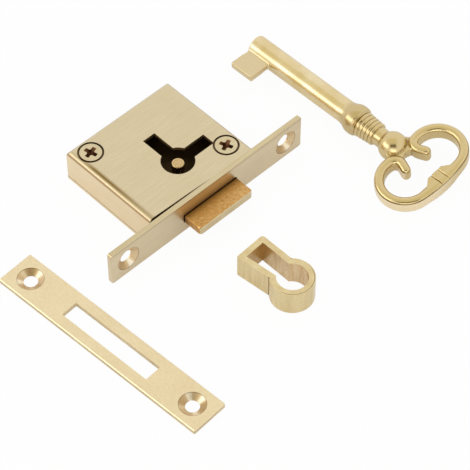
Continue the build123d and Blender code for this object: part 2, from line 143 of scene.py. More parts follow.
def stain_and_shade(tree, place, colour, marks_and_shading):
    """Mixes in stains and painted shade that fade along one axis.

    Each is a colour, an axis and the places along it, in millimetres, where it's full and where it has
    faded out.
    """
    axes = add(tree, "ShaderNodeSeparateXYZ", None, {"Vector": place})
    for shade, axis, full, gone in marks_and_shading:
        reach = add(tree, "ShaderNodeMapRange", {"interpolation_type": "SMOOTHSTEP"}, {
            "Value": axes.outputs[axis], "From Min": gone * MM, "From Max": full * MM})
        mixed = add(tree, "ShaderNodeMix", {"data_type": "RGBA"}, {
            "Factor": reach.outputs["Result"], UNDER: colour, OVER: linear(shade)})
        colour = mixed.outputs[MIXED]
    return colour


def band(tree, value, rise, fall, outside=(0, 0)):
    """A number that climbs to 1 over rise and drops again over fall, both stretches in millimetres.

    outside is what it starts from and what it drops to.
    """
    climb = add(tree, "ShaderNodeMapRange", None, {
        "Value": value, "From Min": rise[0] * MM, "From Max": rise[1] * MM, "To Min": outside[0]})
    drop = add(tree, "ShaderNodeMapRange", None, {
        "Value": value, "From Min": fall[0] * MM, "From Max": fall[1] * MM,
        "To Min": 1.0, "To Max": outside[1]})
    both = add(tree, "ShaderNodeMath", {"operation": "MULTIPLY"}, {
        0: climb.outputs["Result"], 1: drop.outputs["Result"]})
    return both.outputs[0]


def rubbed_colour(tree, light, dark, grain, marks_and_shading=()):
    """The colour and the streaks of metal rubbed in one direction.

    grain is the size of one streak along X, Y and Z, in millimetres. Real streaks are 0.05 to 0.1 mm wide,
    too fine to show, so they are drawn as coarse as they need to be.
    """
    place = add(tree, "ShaderNodeTexCoord")
    spread = add(tree, "ShaderNodeMapping", {"vector_type": "POINT"}, {
        "Vector": place.outputs["Object"], "Scale": tuple(1 / (size * MM) for size in grain)})
    streaks = add(tree, "ShaderNodeTexNoise", None, {
        "Vector": spread.outputs["Vector"], "Scale": 1.0, "Detail": 3.0, "Roughness": 0.6})
    # Broad clouds about 9 mm across, where the lacquer and the hand's pressure vary. They count half.
    clouds = add(tree, "ShaderNodeTexNoise", None, {
        "Vector": place.outputs["Object"], "Scale": 1 / (9 * MM), "Detail": 2.0})
    mixed = add(tree, "ShaderNodeMath", {"operation": "MULTIPLY_ADD"}, {
        0: clouds.outputs["Fac"], 1: 0.5, 2: streaks.outputs["Fac"]})
    tint = add(tree, "ShaderNodeMapRange", None, {
        "Value": mixed.outputs[0], "From Min": 0.5, "From Max": 1.0})
    colour = add(tree, "ShaderNodeMix", {"data_type": "RGBA"}, {
        "Factor": tint.outputs["Result"], UNDER: linear(dark), OVER: linear(light)})
    colour = stain_and_shade(tree, place.outputs["Object"], colour.outputs[MIXED], marks_and_shading)
    return colour, streaks.outputs["Fac"]


def finish_rubbed(material, colour, streaks, gloss, relief):
    """Finishes rubbed metal. A high streak is polished to gloss[0], a low one stays at gloss[1]."""
    shine = add(material.node_tree, "ShaderNodeMapRange", None, {
        "Value": streaks, "From Min": 0.3, "From Max": 0.7, "To Min": gloss[1], "To Max": gloss[0]})
    return finish_material(material, colour, 1.0, shine.outputs["Result"], streaks, relief, depth=0.004)


def rubbed_brass(name, light, dark, grain, gloss, relief=0.2, marks_and_shading=()):
    """Brass rubbed in one direction: fine parallel streaks in colour, gloss and height."""
    material = new_material(name)
    colour, streaks = rubbed_colour(material.node_tree, light, dark, grain, marks_and_shading)
    return finish_rubbed(material, colour, streaks, gloss, relief)


def press_mark(tree, axes, colour, shade):
    """Mixes in the dull, deeper coloured mark that the press left on the cover beside its left fold."""
    # It begins 0.8 mm in from the side, is deepest 1.45 mm in and gone 2.4 mm in.
    side = cover_low.x
    across = band(tree, axes.outputs["X"], (side + 0.8, side + 1.4), (side + 1.5, side + 2.4))
    # It stops 4 mm short of the rear and fades towards both ends.
    start, end = cover_low.y, cover_high.y - 4
    length = end - start
    along = band(
        tree, axes.outputs["Y"], (start, start + 0.55 * length), (start + 0.8 * length, end),
        outside=(0.35, 0.1))
    pressed = add(tree, "ShaderNodeMath", {"operation": "MULTIPLY"}, {0: across, 1: along})
    marked = add(tree, "ShaderNodeMix", {"data_type": "RGBA"}, {
        "Factor": pressed.outputs[0], UNDER: colour, OVER: linear(shade)})
    return marked.outputs[MIXED]


def shade_folds_and_joint(tree, axes, colour):
    """Mixes in painted shade on the rounded folds, the dark joint with the base plate and a painted shadow
    along the front edge.
    """
    # Painted shade on the lower half of each rounded fold
    fold_shade = band(
        tree, axes.outputs["Z"], (cover_top - 1.2, cover_top - 0.85), (cover_top - 0.55, cover_top - 0.3))
    fold_shade = add(tree, "ShaderNodeMath", {"operation": "MULTIPLY"}, {0: fold_shade, 1: 0.9})
    fold_shaded = add(tree, "ShaderNodeMix", {"data_type": "RGBA"}, {
        "Factor": fold_shade.outputs[0], UNDER: colour, OVER: linear("A08460")})
    # The joint between cover and base plate, a dark line 0.24 mm wide
    joint = add(tree, "ShaderNodeMath", {"operation": "COMPARE"}, {
        0: axes.outputs["Z"], 1: cover_low.z * MM, 2: 0.12 * MM})
    joint = add(tree, "ShaderNodeMath", {"operation": "MULTIPLY"}, {0: joint.outputs[0], 1: 0.8})
    jointed = add(tree, "ShaderNodeMix", {"data_type": "RGBA"}, {
        "Factor": joint.outputs[0], UNDER: fold_shaded.outputs[MIXED], OVER: linear("3A2E18")})
    # The last 0.14 mm of the cover's front edge takes a painted shadow of the gap behind the faceplate where
    # the gap is wide. Turned straight, the edge stands at one Y along its whole length.
    straight = add(tree, "ShaderNodeMath", {"operation": "MULTIPLY_ADD"}, {
        0: axes.outputs["X"], 1: gap_slope, 2: axes.outputs["Y"]})
    edge = add(tree, "ShaderNodeMath", {"operation": "LESS_THAN"}, {
        0: straight.outputs[0], 1: (plate_high.y + gap_at_keyhole + 0.14) * MM})
    side = cover_low.x
    wide = band(tree, axes.outputs["X"], (side + 0.4, side + 0.9), (side + 14, side + 23))
    edge = add(tree, "ShaderNodeMath", {"operation": "MULTIPLY"}, {0: edge.outputs[0], 1: wide})
    gap_shadowed = add(tree, "ShaderNodeMix", {"data_type": "RGBA"}, {
        "Factor": edge.outputs[0], UNDER: jointed.outputs[MIXED], OVER: linear("060402")})
    return gap_shadowed.outputs[MIXED]


def folded_brass(name, light, dark, grain, gloss, mark=None):
    """Brushed and lacquered sheet with painted shade on its folds and front edge. mark is the press mark's
    colour.
    """
    material = new_material(name)
    tree = material.node_tree
    colour, streaks = rubbed_colour(tree, light, dark, grain)
    place = add(tree, "ShaderNodeTexCoord")
    axes = add(tree, "ShaderNodeSeparateXYZ", None, {"Vector": place.outputs["Object"]})
    if mark:
        colour = press_mark(tree, axes, colour, mark)
    colour = shade_folds_and_joint(tree, axes, colour)
    return finish_rubbed(material, colour, streaks, gloss, relief=0.2)


def sawn_brass(name, light, dark, grain, gloss):
    """Brass sawn from a bar and filed, with painted shade at the neck's corners and a painted shade line
    round the ring.
    """
    material = new_material(name)
    tree = material.node_tree
    colour, streaks = rubbed_colour(tree, light, dark, grain)
    place = add(tree, "ShaderNodeTexCoord")
    axes = add(tree, "ShaderNodeSeparateXYZ", None, {"Vector": place.outputs["Object"]})
    flat = add(tree, "ShaderNodeCombineXYZ", None, {"X": axes.outputs["X"], "Y": axes.outputs["Y"]})
    insert_shade = linear("5C4420")
    # Painted shade in the two corners where the neck's sides meet the ring, gone 0.35 mm from the corner
    to_corner = insert_axis * sqrt(ring_radius ** 2 - neck_half ** 2)
    for side in (-1, 1):
        corner = ring_centre - to_corner + insert_side * side * neck_half
        reach = add(tree, "ShaderNodeVectorMath", {"operation": "DISTANCE"}, {
            0: flat.outputs["Vector"], 1: (corner.x * MM, corner.y * MM, 0)})
        spot = add(tree, "ShaderNodeMapRange", None, {
            "Value": reach.outputs["Value"], "From Min": 0.35 * MM, "From Max": 0.12 * MM, "To Max": 0.75})
        mixed = add(tree, "ShaderNodeMix", {"data_type": "RGBA"}, {
            "Factor": spot.outputs["Result"], UNDER: colour, OVER: insert_shade})
        colour = mixed.outputs[MIXED]
    # A painted shade line 0.18 mm wide, 0.32 mm inside the ring's rim, on the half away from the neck
    away = add(tree, "ShaderNodeVectorMath", {"operation": "DISTANCE"}, {
        0: flat.outputs["Vector"], 1: (ring_centre.x * MM, ring_centre.y * MM, 0)})
    line = add(tree, "ShaderNodeMath", {"operation": "COMPARE"}, {
        0: away.outputs["Value"], 1: (ring_radius - 0.32) * MM, 2: 0.09 * MM})
    front = add(tree, "ShaderNodeMapRange", None, {
        "Value": axes.outputs["Y"], "From Min": ring_centre.y * MM, "From Max": (ring_centre.y - 3) * MM,
        "To Max": 0.7})
    line = add(tree, "ShaderNodeMath", {"operation": "MULTIPLY"}, {
        0: line.outputs[0], 1: front.outputs["Result"]})
    mixed = add(tree, "ShaderNodeMix", {"data_type": "RGBA"}, {
        "Factor": line.outputs[0], UNDER: colour, OVER: insert_shade})
    return finish_rubbed(material, mixed.outputs[MIXED], streaks, gloss, relief=0.08)


def bow_line_and_highlight(tree, place, colour):
    """Mixes in a dark line on the bow's outer walls, and a painted highlight that brightens the wall under
    it.
    """
    reach = add(tree, "ShaderNodeVectorMath", {"operation": "SUBTRACT"}, {0: place, 1: bow_middle * MM})
    height = add(tree, "ShaderNodeVectorMath", {"operation": "DOT_PRODUCT"}, {
        0: reach.outputs["Vector"], 1: (-sin(bow_roll), 0, cos(bow_roll))})
    # Outer walls face away from the middle of the bow, inner ones towards it.
    level = add(tree, "ShaderNodeVectorMath", {"operation": "MULTIPLY"}, {
        0: reach.outputs["Vector"], 1: (1, 1, 0)})
    shape = add(tree, "ShaderNodeNewGeometry")
    outward = add(tree, "ShaderNodeVectorMath", {"operation": "DOT_PRODUCT"}, {
        0: level.outputs["Vector"], 1: shape.outputs["Normal"]})
    outside = add(tree, "ShaderNodeMapRange", None, {
        "Value": outward.outputs["Value"], "From Min": 2 * MM, "From Max": 4 * MM})
    # The line and the painted highlight start where the bow does and are full 3 mm further on.
    axes = add(tree, "ShaderNodeSeparateXYZ", None, {"Vector": place})
    bow = add(tree, "ShaderNodeMapRange", None, {
        "Value": axes.outputs["Y"], "From Min": bow_y * MM, "From Max": (bow_y - 3) * MM, "To Max": 0.85})
    walls = add(tree, "ShaderNodeMath", {"operation": "MULTIPLY"}, {
        0: outside.outputs["Result"], 1: bow.outputs["Result"]})
    # Under 1.6 mm above the bow's middle the wall gets a painted highlight, most of all on the left.
    under = add(tree, "ShaderNodeMath", {"operation": "LESS_THAN"}, {
        0: height.outputs["Value"], 1: 1.6 * MM})
    left = add(tree, "ShaderNodeMapRange", None, {
        "Value": axes.outputs["X"],
        "From Min": (bow_middle.x + 5.05) * MM, "From Max": (bow_middle.x - 3.95) * MM})
    under = add(tree, "ShaderNodeMath", {"operation": "MULTIPLY"}, {
        0: under.outputs[0], 1: left.outputs["Result"]})
    under = add(tree, "ShaderNodeMath", {"operation": "MULTIPLY"}, {
        0: under.outputs[0], 1: walls.outputs[0]})
    bright = add(tree, "ShaderNodeMix", {"data_type": "RGBA"}, {
        "Factor": under.outputs[0], UNDER: colour, OVER: linear("F8E6C2")})
    # The line itself is 0.32 mm wide and lies 1.75 mm above the bow's middle.
    line = add(tree, "ShaderNodeMath", {"operation": "COMPARE"}, {
        0: height.outputs["Value"], 1: 1.75 * MM, 2: 0.16 * MM})
    line = add(tree, "ShaderNodeMath", {"operation": "MULTIPLY"}, {0: line.outputs[0], 1: walls.outputs[0]})
    lined = add(tree, "ShaderNodeMix", {"data_type": "RGBA"}, {
        "Factor": line.outputs[0], UNDER: bright.outputs[MIXED], OVER: linear("6E5020")})
    return lined.outputs[MIXED]


def cast_brass(name, light, dark, gloss, skin, relief, hollow=None, metallic=1.0, marks_and_shading=()):
    """Brass poured, tumbled and polished: an uneven skin whose hollows keep a deeper colour.

    skin is the width of one dimple of the casting in millimetres.
    hollow is the colour left in grooves, where the polishing wheel doesn't reach. Only the key has it, on
    its half at -Y, together with the dark line and the painted highlight on its bow.
    """
    material = new_material(name)
    tree = material.node_tree
    place = add(tree, "ShaderNodeTexCoord")
    dimples = add(tree, "ShaderNodeTexNoise", None, {
        "Vector": place.outputs["Object"], "Scale": 1 / (skin * MM), "Detail": 3.0, "Roughness": 0.55})
    # Clouds about 6 mm across, where the wheel took more or less of the skin
    clouds = add(tree, "ShaderNodeTexNoise", None, {
        "Vector": place.outputs["Object"], "Scale": 1 / (6 * MM), "Detail": 2.0})
    tint = add(tree, "ShaderNodeMapRange", None, {
        "Value": clouds.outputs["Fac"], "From Min": 0.3, "From Max": 0.7})
    colour = add(tree, "ShaderNodeMix", {"data_type": "RGBA"}, {
        "Factor": tint.outputs["Result"], UNDER: linear(dark), OVER: linear(light)})
    colour = stain_and_shade(tree, place.outputs["Object"], colour.outputs[MIXED], marks_and_shading)
    if hollow:
        shape = add(tree, "ShaderNodeNewGeometry")
        # Pointiness is 0.5 on the flat and less in a hollow.
        groove = add(tree, "ShaderNodeMapRange", None, {
            "Value": shape.outputs["Pointiness"], "From Min": 0.496, "From Max": 0.455})
        axes = add(tree, "ShaderNodeSeparateXYZ", None, {"Vector": place.outputs["Object"]})
        beyond = add(tree, "ShaderNodeMath", {"operation": "LESS_THAN"}, {0: axes.outputs["Y"], 1: 0.0})
        groove = add(tree, "ShaderNodeMath", {"operation": "MULTIPLY"}, {
            0: groove.outputs["Result"], 1: beyond.outputs[0]})
        grooved = add(tree, "ShaderNodeMix", {"data_type": "RGBA"}, {
            "Factor": groove.outputs[0], UNDER: colour, OVER: linear(hollow)})
        colour = bow_line_and_highlight(tree, place.outputs["Object"], grooved.outputs[MIXED])
    shine = add(tree, "ShaderNodeMapRange", None, {
        "Value": dimples.outputs["Fac"], "From Min": 0.3, "From Max": 0.7,
        "To Min": gloss[0], "To Max": gloss[1]})
    return finish_material(
        material, colour, metallic, shine.outputs["Result"], dimples.outputs["Fac"], relief, depth=0.02)


def turned_brass(name, centre, plane, painted_glints, painted_shades):
    """Brass cut by a tool that turned about a centre: painted fans of light, painted dark sides and fine
    rings.

    plane names the two axes that the tool turned in. painted_glints are the directions of the painted fans
    of light and painted_shades those of the painted dark sides, in degrees.
    """
    material = new_material(name)
    tree = material.node_tree
    place = add(tree, "ShaderNodeTexCoord")
    moved = add(tree, "ShaderNodeMapping", {"vector_type": "POINT"}, {
        "Vector": place.outputs["Object"], "Location": tuple(-c * MM for c in centre)})
    axes = add(tree, "ShaderNodeSeparateXYZ", None, {"Vector": moved.outputs["Vector"]})
    angle = add(tree, "ShaderNodeMath", {"operation": "ARCTAN2"}, {
        0: axes.outputs[plane[1]], 1: axes.outputs[plane[0]]})
    flat = add(tree, "ShaderNodeCombineXYZ", None, {
        "X": axes.outputs[plane[0]], "Y": axes.outputs[plane[1]]})
    radius = add(tree, "ShaderNodeVectorMath", {"operation": "LENGTH"}, {0: flat.outputs["Vector"]})
    # Uneven sectors, about seven to the turn
    polar = add(tree, "ShaderNodeCombineXYZ", None, {"X": angle.outputs[0], "Y": 0.0, "Z": 0.0})
    sectors = add(tree, "ShaderNodeTexNoise", None, {
        "Vector": polar.outputs["Vector"], "Scale": 1.1, "Detail": 1.0})
    tint = add(tree, "ShaderNodeMapRange", None, {
        "Value": sectors.outputs["Fac"], "From Min": 0.35, "From Max": 0.65})
    colour = add(tree, "ShaderNodeMix", {"data_type": "RGBA"}, {
        "Factor": tint.outputs["Result"], UNDER: linear("D0B488"), OVER: linear("E6D0AA")})
    # A painted dark side reaches 40 degrees each way and a painted fan of light 20.
    painted_dark_sides = [(direction, 40, "A8844E", 0.6) for direction in painted_shades]
    painted_fans = [(direction, 20, "FFF4DA", 0.9) for direction in painted_glints]
    for direction, reach, tone, most in painted_dark_sides + painted_fans:
        away = add(tree, "ShaderNodeMath", {"operation": "SUBTRACT"}, {
            0: angle.outputs[0], 1: radians(direction)})
        nearness = add(tree, "ShaderNodeMath", {"operation": "COSINE"}, {0: away.outputs[0]})
        share = add(tree, "ShaderNodeMapRange", {"interpolation_type": "SMOOTHSTEP"}, {
            "Value": nearness.outputs[0], "From Min": cos(radians(reach)), "From Max": 1.0, "To Max": most})
        colour = add(tree, "ShaderNodeMix", {"data_type": "RGBA"}, {
            "Factor": share.outputs["Result"], UNDER: colour.outputs[MIXED], OVER: linear(tone)})
    # The burr that the tool left just inside the rim, a line 0.2 mm wide
    burr = add(tree, "ShaderNodeMath", {"operation": "COMPARE"}, {
        0: radius.outputs["Value"], 1: (sink_radius - 0.06) * MM, 2: 0.1 * MM})
    burr = add(tree, "ShaderNodeMath", {"operation": "MULTIPLY"}, {0: burr.outputs[0], 1: 0.55})
    colour = add(tree, "ShaderNodeMix", {"data_type": "RGBA"}, {
        "Factor": burr.outputs[0], UNDER: colour.outputs[MIXED], OVER: linear("6E5024")})
    # The tool's grooves are about 0.05 mm apart, too fine to show, so they are drawn 0.3 mm apart.
    groove_spacing = 0.3
    steps = add(tree, "ShaderNodeMath", {"operation": "DIVIDE"}, {
        0: radius.outputs["Value"], 1: groove_spacing * MM / (2 * pi)})
    waves = add(tree, "ShaderNodeMath", {"operation": "SINE"}, {0: steps.outputs[0]})
    shine = add(tree, "ShaderNodeMapRange", None, {
        "Value": waves.outputs[0], "From Min": -1.0, "From Max": 1.0, "To Min": 0.36, "To Max": 0.46})
    return finish_material(
        material, colour.outputs[MIXED], 1.0, shine.outputs["Result"], waves.outputs[0], 0.15, depth=0.005)


# Brass sheet, brushed along the faceplate and then lacquered: pale gold and even, with soft streaks and a
# satin gloss that smears reflections. A brush line is about 0.05 mm wide, too fine to show, so a streak is
# drawn 0.5 mm wide and 9 mm long. Beside the left fold the press left a dull brown mark.
cover_sheet = folded_brass(
    "brushed_lacquered_brass_sheet", light="DBCCA9", dark="D4C49F", grain=(9, 0.5, 9), gloss=(0.26, 0.34),
    mark="8A6C36")

# The same sheet on the two sides, painted lighter and warmer to stand in for the floor's light reflected in
# them. Its brush lines are too fine to show, so it has broad faint streaks 2 mm high.
lit_side_sheet = folded_brass(
    "lacquered_brass_side_flap_painted_light", light="F1DDB8", dark="EAD5AE", grain=(9, 9, 2), gloss=(0.28, 0.34))

# The same sheet on the rear, where the brush ran level: streaks as on the top.
rear_sheet = rubbed_brass(
    "brushed_lacquered_brass_rear_flap", light="DCCDAA", dark="D2C29C", grain=(9, 9, 0.5),
    gloss=(0.26, 0.34))

# Brass strip, lapped flat on a stone: long faint streaks and a quiet gloss, with painted shade over the last
# 1.1 mm under its upper edge that makes it duller and browner. Lapping lines are finer than 0.1 mm, so the
# streaks are drawn 1.2 mm wide.
lapped_plate = rubbed_brass(
    "lapped_brass_plate", light="DECEAD", dark="D7C6A4", grain=(14, 1.2, 1.2), gloss=(0.3, 0.36),
    marks_and_shading=[("B8A484", "Z", plate_high.z - 0.1, plate_high.z - 1.1)])

# The strip's upper edge, polished by the wheel: smoother and a little yellower, with streaks 0.8 mm wide.
lapped_edge = rubbed_brass(
    "lapped_brass_plate_edge", light="D7C79F", dark="CDBB94", grain=(14, 0.8, 0.8), gloss=(0.22, 0.28))

# Brass strip, tumbled with grit: light and warm, with a fine soft mottle that has hardly any direction.
# Grit marks are about 0.1 mm across, too fine to show, so the mottle is drawn 0.5 by 1 mm.
strike_sheet = rubbed_brass(
    "tumbled_brass_strip", light="F1E0BA", dark="E8D4AC", grain=(0.5, 1.0, 0.5), gloss=(0.3, 0.38),
    relief=0.3)

# The strip's edges, torn by the punch: darker and rougher, in patches 2 mm long and 0.5 mm high.
strike_edge = rubbed_brass(
    "punched_edge_of_the_strip", light="E4D2AC", dark="C8B48A", grain=(2, 2, 0.5), gloss=(0.34, 0.44))

# Steel screw, plated with brass and left satin: the cover's colour, with short streaks 0.5 mm wide.
plated_screw = rubbed_brass(
    "satin_plated_screw_head", light="DCCDA8", dark="D0C098", grain=(2, 0.5, 2), gloss=(0.26, 0.34))

# Brass bar as the draw bench leaves it, with no polish: orange and brown patches about 1 mm across, uneven
# gloss, painted shade that darkens it towards the faceplate's slot and a painted shadow line at the slot.
drawn_bar = rubbed_brass(
    "raw_drawn_brass_bar", light="DEB476", dark="B88440", grain=(0.9, 0.6, 1.6), gloss=(0.24, 0.38),
    relief=0.4,
    marks_and_shading=[
        ("7E5C30", "Y", plate_low.y, plate_low.y - 2.6),
        ("241206", "Y", plate_low.y - 0.1, plate_low.y - 0.45)])

# The bar's outer end, filed smooth: pale like the plate, with streaks 3 mm long and 0.6 mm high.
cut_bar_end = rubbed_brass(
    "filed_end_of_the_brass_bar", light="DCCCA4", dark="CDB88C", grain=(3, 3, 0.6), gloss=(0.22, 0.3))

# Brass sawn from a thick bar and filed: warm and bright, with upright streaks 1.2 mm wide down its walls
# that make a soft mottle on top, and painted shade in its corners. The file's lines are about 0.1 mm apart,
# so the streaks are drawn wider.
sawn_bar = sawn_brass(
    "sawn_and_filed_brass", light="E6D4A6", dark="D6C08E", grain=(1.2, 1.2, 14), gloss=(0.24, 0.32))

# The walls that the saw left inside: painted lighter to stand in for light, with stronger upright streaks
# 0.9 mm wide, and painted shade that makes them browner towards the square foot.
sawn_inside_light_and_shade = rubbed_brass(
    "sawn_inside_of_the_insert", light="F9E3BC", dark="DFBF8D", grain=(0.9, 0.9, 9), gloss=(0.24, 0.34),
    marks_and_shading=[("D2B27E", "Y", foot_middle.y - 1.77, foot_middle.y - 5.77)])

# Brass rod, turned: a bright pin with fine uneven lines, 0.35 mm wide, that catch the light.
turned_pin = rubbed_brass(
    "turned_brass_pin", light="EED4A0", dark="A8844E", grain=(0.35, 0.35, 2), gloss=(0.2, 0.3), relief=0.4)

# Brass levers, posts and stump: deep brown gold, uneven and half dull.
inner_works = cast_brass(
    "dark_inner_brass", light="A88450", dark="7C5C30", gloss=(0.3, 0.45), skin=1.5, relief=0.2,
    metallic=0.6)

# The unpolished inner side of the sheet, tarnished and painted with shade: dark brown and dull, so that
# the case looks deep.
tarnish_and_shade = cast_brass(
    "unpolished_inside_of_case_painted_shade", light="7A5E38", dark="4C3820", gloss=(0.4, 0.55), skin=1.5, relief=0.2,
    metallic=0.4)

# The recess struck into the screw's head, painted as shade: reddish brown with dimples of 0.5 mm.
recess_shade = cast_brass(
    "shaded_screw_recess", light="986842", dark="6C4830", gloss=(0.3, 0.45), skin=0.5, relief=0.4,
    metallic=0.8)

# Brass, cast, tumbled and polished: clear bright reflections that waver over dimples 1.6 mm across, deep
# brown in the grooves between the ribs. It is a little yellower on the bit, browner on the bell collar and
# deeper yellow from the ribs to the bow.
cast_key = cast_brass(
    "cast_and_polished_brass", light="EAD9B0", dark="DDC692", gloss=(0.2, 0.27), skin=1.6, relief=0.25,
    hollow="6E4C18",
    marks_and_shading=[
        ("DCC89E", "X", shank_side_x - 0.55, shank_side_x + 0.45),
        ("CEB888", "Y", collar_y - 2.4, collar_y),
        ("D8C28F", "Y", ribs_y - 1, ribs_y)])

# Spring steel strip, tempered blue: cool dark grey with faint clouds.
spring_strip = cast_brass(
    "blued_spring_steel", light="8A8C90", dark="5E6064", gloss=(0.3, 0.4), skin=1.0, relief=0.1)


def dress(node, *materials):
    """Gives a CAD node its materials, the first of them everywhere."""
    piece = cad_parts[node]
    piece.data.materials.clear()
    for material in materials:
        piece.data.materials.append(material)
    for face in piece.data.polygons:
        face.material_index = 0


def paint_faces(node, material, test):
    """Faces whose middle, in millimetres, and normal pass the test take that one of the node's materials."""
    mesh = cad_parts[node].data
    slot = mesh.materials.find(material.name)
    for face in mesh.polygons:
        if test(face.center / MM, face.normal):
            face.material_index = slot


def near(point, centre, reach):
    """Whether a point lies within reach of a centre, seen along the third axis."""
    return (point[0] - centre[0]) ** 2 + (point[1] - centre[1]) ** 2 < reach ** 2


def countersunk(node, sheet, edge, slopes, plane, centres, lights):
    """Gives a plate its sheet finish and each of its screw holes a turned one.

    slopes tests the normal of a hole's faces. lights are each hole's painted fans of light and
    painted dark sides, in degrees.
    """
    first, second = ("XYZ".index(axis) for axis in plane)
    cones = [
        turned_brass(f"turned_countersink_{node}_{n + 1}", centre, plane, *lights[n])
        for n, centre in enumerate(centres)]
    dress(node, sheet, *cones, edge)
    for cone, centre in zip(cones, centres):
        middle = (centre[first], centre[second])
        paint_faces(node, cone, lambda c, n: (
            near((c[first], c[second]), middle, sink_radius + 0.06) and slopes(n)))


dress("cover", cover_sheet, rear_sheet, tarnish_and_shade, lit_side_sheet)
dress("base_plate", cover_sheet, rear_sheet, tarnish_and_shade, lit_side_sheet)
dress("cover_screws", plated_screw, recess_shade)
dress("drill_pin", turned_pin)
dress("bolt", drawn_bar, cut_bar_end)
dress("keyhole_insert", sawn_bar, sawn_inside_light_and_shade)
for name in ("bolt_stump", "cover_pillars", "guide_post", "guide_sleeves", "lever_post", "lever_spacers"):
    dress(name, inner_works)
for level in ("lower", "middle", "upper"):
    dress(f"{level}_lever", inner_works)
    dress(f"{level}_lever_spring", spring_strip)


def in_case(c, n):
    """Faces of the cover's inner side and of the edge that stands behind the faceplate."""
    wall = cover_sheet_thickness - 0.1
    within = cover_low.x + wall < c.x < cover_high.x - wall and c.y < cover_high.y - wall
    under = c.z < cover_top - cover_sheet_thickness + 0.05
    return (within and under) or (n.y < -0.8 and c.y < cover_low.y + 2)


def in_ring(c, n):
    """Faces of the two grooves round the screw heads."""
    reach = screw_ring_radius + 0.1
    return c.z < cover_top - 0.01 and any(near(c, s, reach) for s in (rear_screw_centre, front_screw_centre))


def in_keyhole(c, n):
    """Walls of the keyhole: its round part reaches 4.75 mm each way and its slots reach 11.7 mm at most."""
    upright = abs(n.z) < 0.5 and c.z > cover_top - cover_sheet_thickness - 0.02
    return upright and -5 < c.x < 12 and -5 < c.y < 12


for name in ("cover", "base_plate"):
    paint_faces(name, lit_side_sheet, lambda c, n: abs(n.x) > 0.93)
    paint_faces(name, rear_sheet, lambda c, n: abs(n.y) > 0.8)
# Painted shade: the inner side, the edge behind the faceplate, the screw grooves and keyhole walls go dark.
for test in (in_case, in_ring, in_keyhole):
    paint_faces("cover", tarnish_and_shade, test)
paint_faces("base_plate", tarnish_and_shade, lambda c, n: n.z > 0.9)
paint_faces("cover_screws", recess_shade, lambda c, n: c.z < cover_top - 0.01)
paint_faces("bolt", cut_bar_end, lambda c, n: n.y < -0.5 and c.y < bolt_front + 1)

plate_holes = [(plate_middle.x + side * plate_hole_spacing / 2, 0, plate_middle.z) for side in (-1, 1)]
countersunk(
    "faceplate", lapped_plate, lapped_edge, slopes=lambda n: abs(n.y) < 0.95, plane="XZ",
    centres=plate_holes, lights=[([287], [225]), ([287], [225])])
paint_faces("faceplate", lapped_edge, lambda c, n: n.z > 0.5 and c.z > plate_high.z - 0.5)

strike_holes = [
    (strike_middle.x - side * strike_hole_spacing / 2 * sin(strike_turn),
     strike_middle.y + side * strike_hole_spacing / 2 * cos(strike_turn), 0)
    for side in (-1, 1)]
countersunk(
    "strike_plate", strike_sheet, strike_edge, slopes=lambda n: abs(n.z) < 0.95, plane="XY",
    centres=strike_holes, lights=[([63, -8, 244], [108, -54]), ([-4, 150], [50])])
paint_faces("strike_plate", strike_edge, lambda c, n: (
    abs(n.z) < 0.3 and not any(near(c, hole, sink_radius + 0.06) for hole in strike_holes)))


def inside_insert(c, n):
    """Walls of the keyhole through the insert: a neck that opens into the round part in the ring."""
    reach = c.xy - ring_centre
    along = reach.dot(insert_axis)
    across = abs(reach.dot(insert_side))
    # Inner faces lie on this side of the middle of the wall, outer ones beyond it.
    half_wall = insert_wall / 2
    in_neck = half_wall - (ring_centre - foot_middle).length < along < 0 and across < neck_half - half_wall
    in_round = reach.length < ring_radius - half_wall
    return abs(n.z) < 0.5 and (in_neck or in_round)


paint_faces("keyhole_insert", sawn_inside_light_and_shade, inside_insert)


def select_only(piece):
    bpy.ops.object.select_all(action="DESELECT")
    piece.select_set(True)
    bpy.context.view_layer.objects.active = piece


def copy_of(node, name):
    """A copy of a CAD node's mesh with its loose triangles joined up."""
    piece = bpy.data.objects.new(name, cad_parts[node].data.copy())
    bpy.context.scene.collection.objects.link(piece)
    select_only(piece)
    bpy.ops.mesh.customdata_custom_splitnormals_clear()
    bpy.ops.object.mode_set(mode="EDIT")
    bpy.ops.mesh.select_all(action="SELECT")
    bpy.ops.mesh.remove_doubles(threshold=0.001 * MM)
    bpy.ops.object.mode_set(mode="OBJECT")
    return piece


def apply(piece, kind, **settings):
    """Adds a modifier with its settings and applies it."""
    select_only(piece)
    modifier = piece.modifiers.new(kind.lower(), kind)
    for name, value in settings.items():
        setattr(modifier, name, value)
    bpy.ops.object.modifier_apply(modifier=modifier.name)


def in_bit_join(point):
    """How much of the soft join of bit and shank reaches a point in millimetres, from 0 to 1.

    It runs 2.6 mm to each side of the shank's wall and 3.4 mm up and down, and ends 10.6 mm behind the tip.
    """
    beside = abs(point.x - shank_side_x) / 2.6
    above = abs(point.z - key_axis_z) / 3.4
    behind = (key_tip_y - 7 - point.y) / 3.6
    return max(0.0, min(1.0, 2 * (1 - max(beside, above, behind))))


def in_lobe(point):
    """How much of the round rod of the bow's lobes reaches a point in millimetres, from 0 to 1.

    The pad at the far end of the bow, 10 mm wide and beyond -46 mm, keeps its edges.
    """
    beside_pad = max(abs(point.x - key_axis_x) - 5, point.y + 46)
    return max(0.0, min(1.0, beside_pad, bow_y + 1 - point.y))


